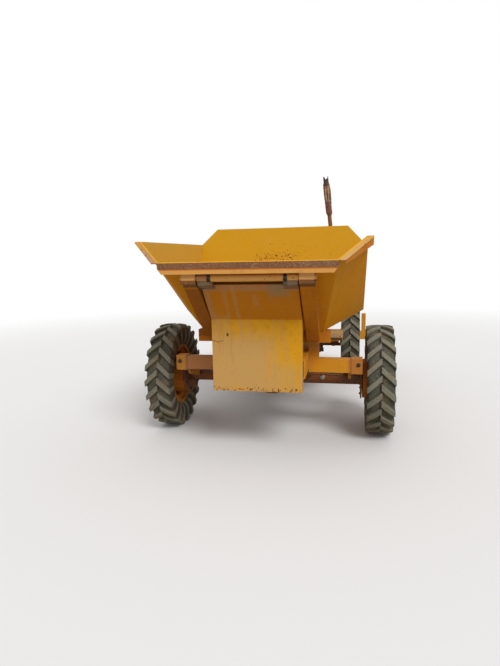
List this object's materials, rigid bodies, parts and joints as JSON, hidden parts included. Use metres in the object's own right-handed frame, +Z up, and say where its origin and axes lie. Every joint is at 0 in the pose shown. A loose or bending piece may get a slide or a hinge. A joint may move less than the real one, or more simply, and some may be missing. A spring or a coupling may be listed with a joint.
{
  "type": "front-tipping site dumper",
  "caption": "Small front-tipping site dumper with an open steel skip on a front pivot, driven front axle, steered rear axle, rear engine under a hinged hood and tall exhaust stack.",
  "frame": {"origin": "on the ground, under the middle of the machine's bounding box", "axes": "+Z up, the skip's discharge lip faces -Y, +X is the driver's left hand"},
  "size_m": [1.68, 3.11, 2.0118],
  "materials": {
    "yellow_paint": "chalky, scratched enamel",
    "worn_steel": "rusted and rubbed bare",
    "dark_paint": "dusty dark enamel",
    "cast_parts": "rusty and greasy",
    "bright_steel": "ground",
    "exhaust_steel": "burnt and rusted",
    "tyre_rubber": "dusty",
    "seat_vinyl": "matt, cracked",
    "wheel_plastic": "worn smooth"
  },
  "bodies": {
    "chassis": {"chassis_frame": "yellow_paint", "front_stand": "yellow_paint", "front_apron": "yellow_paint", "front_outriggers": "yellow_paint", "drive_axle": "cast_parts", "gearbox": "cast_parts", "engine_block": "cast_parts", "rear_axle": "cast_parts", "driver_platform": "yellow_paint", "steering_column": "dark_paint", "controls": "bright_steel", "seat_base": "yellow_paint", "seat_cushion": "seat_vinyl", "seat_back": "seat_vinyl", "fuel_tank": "dark_paint", "engine_cowl": "yellow_paint", "rear_grille": "dark_paint", "exhaust_stack": "exhaust_steel", "rear_bumper": "yellow_paint", "mudguards": "yellow_paint"},
    "skip": {"skip_tub": "yellow_paint", "skip_rim_flange": "yellow_paint", "skip_lip_bar": "worn_steel", "skip_lip_channel": "yellow_paint", "skip_underframe": "yellow_paint", "pivot_shaft": "bright_steel"},
    "hood": {"hood_lid": "yellow_paint"},
    "steering_wheel": {"steering_wheel": "wheel_plastic"},
    "ram_barrel": {"ram_barrel": "cast_parts"},
    "ram_sleeve": {"ram_sleeve": "bright_steel"},
    "ram_rod": {"ram_rod": "bright_steel"},
    "wheel_front_left": {"tyre_front_left": "tyre_rubber", "rim_front_left": "yellow_paint"},
    "wheel_front_right": {"tyre_front_right": "tyre_rubber", "rim_front_right": "yellow_paint"},
    "wheel_rear_left": {"tyre_rear_left": "tyre_rubber", "rim_rear_left": "yellow_paint"},
    "wheel_rear_right": {"tyre_rear_right": "tyre_rubber", "rim_rear_right": "yellow_paint"},
    "knuckle_left": {"knuckle_left": "cast_parts"},
    "knuckle_right": {"knuckle_right": "cast_parts"},
    "track_rod": {"track_rod": "cast_parts"},
    "drag_link": {"drag_link": "cast_parts"},
    "drop_arm": {"drop_arm": "cast_parts"}
  },
  "joints": [
    {"name": "skip_tip", "type": "hinge", "parent": "chassis", "child": "skip", "pos_m": [0, -1.498, 1.128], "axis": [1, 0, 0], "range_deg": [0, 75]},
    {"name": "ram_swing", "type": "hinge", "parent": "chassis", "child": "ram_barrel", "pos_m": [0, -1.185, 0.59], "axis": [1, 0, 0], "range_deg": [0, 65.89]},
    {"name": "ram_first_stage", "type": "slide", "parent": "ram_barrel", "child": "ram_sleeve", "axis": [0, 0.9858, 0.1681], "range_m": [0, 0.37131]},
    {"name": "ram_second_stage", "type": "slide", "parent": "ram_sleeve", "child": "ram_rod", "axis": [0, 0.9858, 0.1681], "range_m": [0, 0.37131]},
    {"name": "hood_open", "type": "hinge", "parent": "chassis", "child": "hood", "pos_m": [0, 0.791, 0.952], "axis": [1, 0, 0], "range_deg": [0, 60]},
    {"name": "steer_left", "type": "hinge", "parent": "chassis", "child": "knuckle_left", "pos_m": [0.405, 0.98, 0.3775], "axis": [0, 0, 1], "range_deg": [-25, 25]},
    {"name": "steer_right", "type": "hinge", "parent": "chassis", "child": "knuckle_right", "pos_m": [-0.405, 0.98, 0.3775], "axis": [0, 0, 1], "range_deg": [-25, 25]},
    {"name": "track_rod_shift", "type": "slide", "parent": "chassis", "child": "track_rod", "axis": [1, 0, 0], "range_m": [-0.05504, 0.05504]},
    {"name": "drag_link_shift", "type": "slide", "parent": "chassis", "child": "drag_link", "axis": [0, 1, 0], "range_m": [-0.06349, 0.06349]},
    {"name": "drop_arm_swing", "type": "hinge", "parent": "chassis", "child": "drop_arm", "pos_m": [0.3057, -0.04, 0.5808], "axis": [1, 0, 0], "range_deg": [-31.9, 31.9]},
    {"name": "steering_wheel_turn", "type": "hinge", "parent": "chassis", "child": "steering_wheel", "pos_m": [0, 0.14, 1.15], "axis": [0, 0.3375, 0.9413], "range_deg": [-360.5, 360.5]},
    {"name": "wheel_front_left_roll", "type": "hinge", "parent": "chassis", "child": "wheel_front_left", "pos_m": [0.75, -0.64, 0.3775], "axis": [1, 0, 0], "continuous": true},
    {"name": "wheel_front_right_roll", "type": "hinge", "parent": "chassis", "child": "wheel_front_right", "pos_m": [-0.75, -0.64, 0.3775], "axis": [1, 0, 0], "continuous": true},
    {"name": "wheel_rear_left_roll", "type": "hinge", "parent": "knuckle_left", "child": "wheel_rear_left", "pos_m": [0.555, 0.98, 0.3775], "axis": [1, 0, 0], "continuous": true},
    {"name": "wheel_rear_right_roll", "type": "hinge", "parent": "knuckle_right", "child": "wheel_rear_right", "pos_m": [-0.555, 0.98, 0.3775], "axis": [1, 0, 0], "continuous": true}
  ],
  "couplings": [
    {"joint": "ram_swing", "follows": "skip_tip", "ratio": 0.87838},
    {"joint": "ram_first_stage", "follows": "skip_tip", "m_per_rad": 0.28358},
    {"joint": "ram_second_stage", "follows": "skip_tip", "m_per_rad": 0.28358},
    {"joint": "steer_right", "follows": "steer_left", "ratio": 1},
    {"joint": "track_rod_shift", "follows": "steer_left", "m_per_rad": -0.12591},
    {"joint": "drag_link_shift", "follows": "steer_left", "m_per_rad": -0.14528},
    {"joint": "drop_arm_swing", "follows": "steer_left", "ratio": -1.2756},
    {"joint": "steering_wheel_turn", "follows": "steer_left", "ratio": -14.4}
  ]
}
